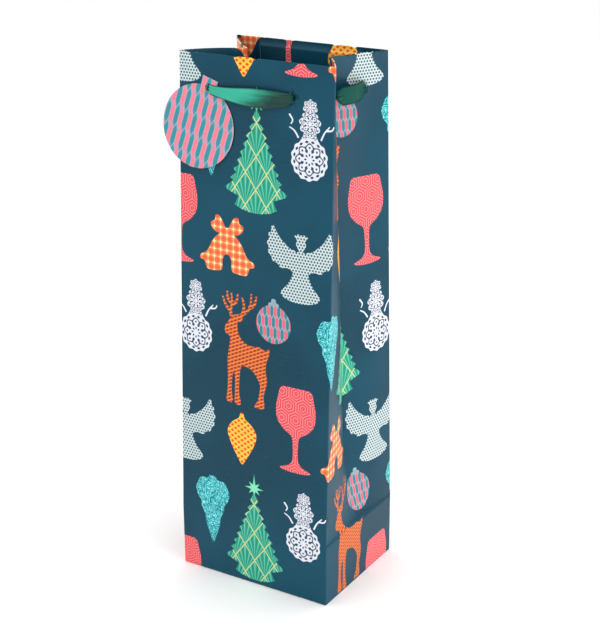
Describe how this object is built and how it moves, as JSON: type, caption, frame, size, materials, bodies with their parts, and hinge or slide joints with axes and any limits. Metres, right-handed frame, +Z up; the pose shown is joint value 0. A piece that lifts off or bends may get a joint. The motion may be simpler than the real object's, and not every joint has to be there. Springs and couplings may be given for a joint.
{
  "type": "wine gift bag",
  "caption": "Tall narrow paper bag for one bottle, with folding gusseted sides, a turned-in rim, a satin ribbon drawn through its rim as handles and a round hanging card tag.",
  "frame": {"origin": "middle of the base, on the surface that the bag stands on", "axes": "+X to the right across the front panel, +Y from the front panel to the back panel, +Z up to the rim"},
  "size_m": [0.1247, 0.089, 0.355],
  "materials": {
    "printed_paper": "petrol teal art paper with a printed festive pattern under a satin film, plain white on the inside",
    "stiffening_card": "plain uncoated greyish white board",
    "satin_ribbon": "emerald double-faced satin, with a soft lengthwise sheen",
    "tag_card": "matte printed card, coral pink and teal"
  },
  "bodies": {
    "base": {"base_front": "printed_paper", "base_back": "printed_paper", "base_right": "printed_paper", "base_left": "printed_paper", "base_flap_back": "printed_paper", "base_flap_front": "printed_paper", "base_flap_right": "printed_paper", "base_flap_left": "printed_paper", "base_card": "stiffening_card", "right_ribbon_span": "satin_ribbon", "left_ribbon_span": "satin_ribbon"},
    "front_wall": {"front_panel": "printed_paper", "front_hem": "printed_paper", "front_rim_card": "stiffening_card", "right_front_ribbon_run": "satin_ribbon", "left_front_ribbon_run": "satin_ribbon"},
    "back_wall": {"back_panel": "printed_paper", "back_hem": "printed_paper", "back_rim_card": "stiffening_card", "right_back_ribbon_run": "satin_ribbon", "left_back_ribbon_run": "satin_ribbon", "ribbon_knot": "satin_ribbon"},
    "front_handle": {"front_ribbon_handle": "satin_ribbon"},
    "back_handle": {"back_ribbon_handle": "satin_ribbon"},
    "tag": {"gift_tag": "tag_card"},
    "right_front_fold": {"right_front_gusset": "printed_paper", "right_front_gusset_hem": "printed_paper"},
    "left_front_fold": {"left_front_gusset": "printed_paper", "left_front_gusset_hem": "printed_paper"},
    "right_back_fold": {"right_back_gusset": "printed_paper", "right_back_gusset_hem": "printed_paper"},
    "left_back_fold": {"left_back_gusset": "printed_paper", "left_back_gusset_hem": "printed_paper"}
  },
  "joints": [
    {"name": "mouth_close", "type": "hinge", "parent": "base", "child": "front_wall", "pos_m": [0, -0.0445, 0.0445], "axis": [-1, 0, 0], "range_deg": [-1, 4.2], "stiffness_Nm_per_rad": 0.3, "deforming": ["right_ribbon_span", "left_ribbon_span", "right_front_ribbon_run", "left_front_ribbon_run", "right_back_ribbon_run", "left_back_ribbon_run"]},
    {"name": "back_wall_fold", "type": "hinge", "parent": "base", "child": "back_wall", "pos_m": [0, 0.0445, 0.0445], "axis": [1, 0, 0], "range_deg": [-1, 4.2]},
    {"name": "right_front_gusset_fold", "type": "hinge", "parent": "front_wall", "child": "right_front_fold", "pos_m": [0.0564, -0.0439, 0.0445], "axis": [0, 0.0378, 0.9993], "range_deg": [-8.9, 37.38]},
    {"name": "left_front_gusset_fold", "type": "hinge", "parent": "front_wall", "child": "left_front_fold", "pos_m": [-0.0564, -0.0439, 0.0445], "axis": [0, -0.0378, -0.9993], "range_deg": [-8.9, 37.38]},
    {"name": "right_back_gusset_fold", "type": "hinge", "parent": "back_wall", "child": "right_back_fold", "pos_m": [0.0564, 0.0439, 0.0445], "axis": [0, 0.0378, -0.9993], "range_deg": [-8.9, 37.38]},
    {"name": "left_back_gusset_fold", "type": "hinge", "parent": "back_wall", "child": "left_back_fold", "pos_m": [-0.0564, 0.0439, 0.0445], "axis": [0, -0.0378, 0.9993], "range_deg": [-8.9, 37.38]},
    {"name": "front_handle_lift", "type": "hinge", "parent": "front_wall", "child": "front_handle", "pos_m": [-0.0037, -0.03561, 0.3376], "axis": [-1, 0, 0], "range_deg": [0, 110]},
    {"name": "back_handle_lift", "type": "hinge", "parent": "back_wall", "child": "back_handle", "pos_m": [-0.0037, 0.03561, 0.3376], "axis": [1, 0, 0], "range_deg": [0, 110]},
    {"name": "tag_swing", "type": "hinge", "parent": "front_wall", "child": "tag", "pos_m": [-0.0337, -0.03409, 0.33404], "axis": [0, -0.9993, 0.0378], "range_deg": [-73, 107]}
  ],
  "couplings": [
    {"joint": "back_wall_fold", "follows": "mouth_close", "ratio": 1},
    {"joint": "right_front_gusset_fold", "follows": "mouth_close", "ratio": 8.9},
    {"joint": "left_front_gusset_fold", "follows": "mouth_close", "ratio": 8.9},
    {"joint": "right_back_gusset_fold", "follows": "mouth_close", "ratio": 8.9},
    {"joint": "left_back_gusset_fold", "follows": "mouth_close", "ratio": 8.9}
  ]
}
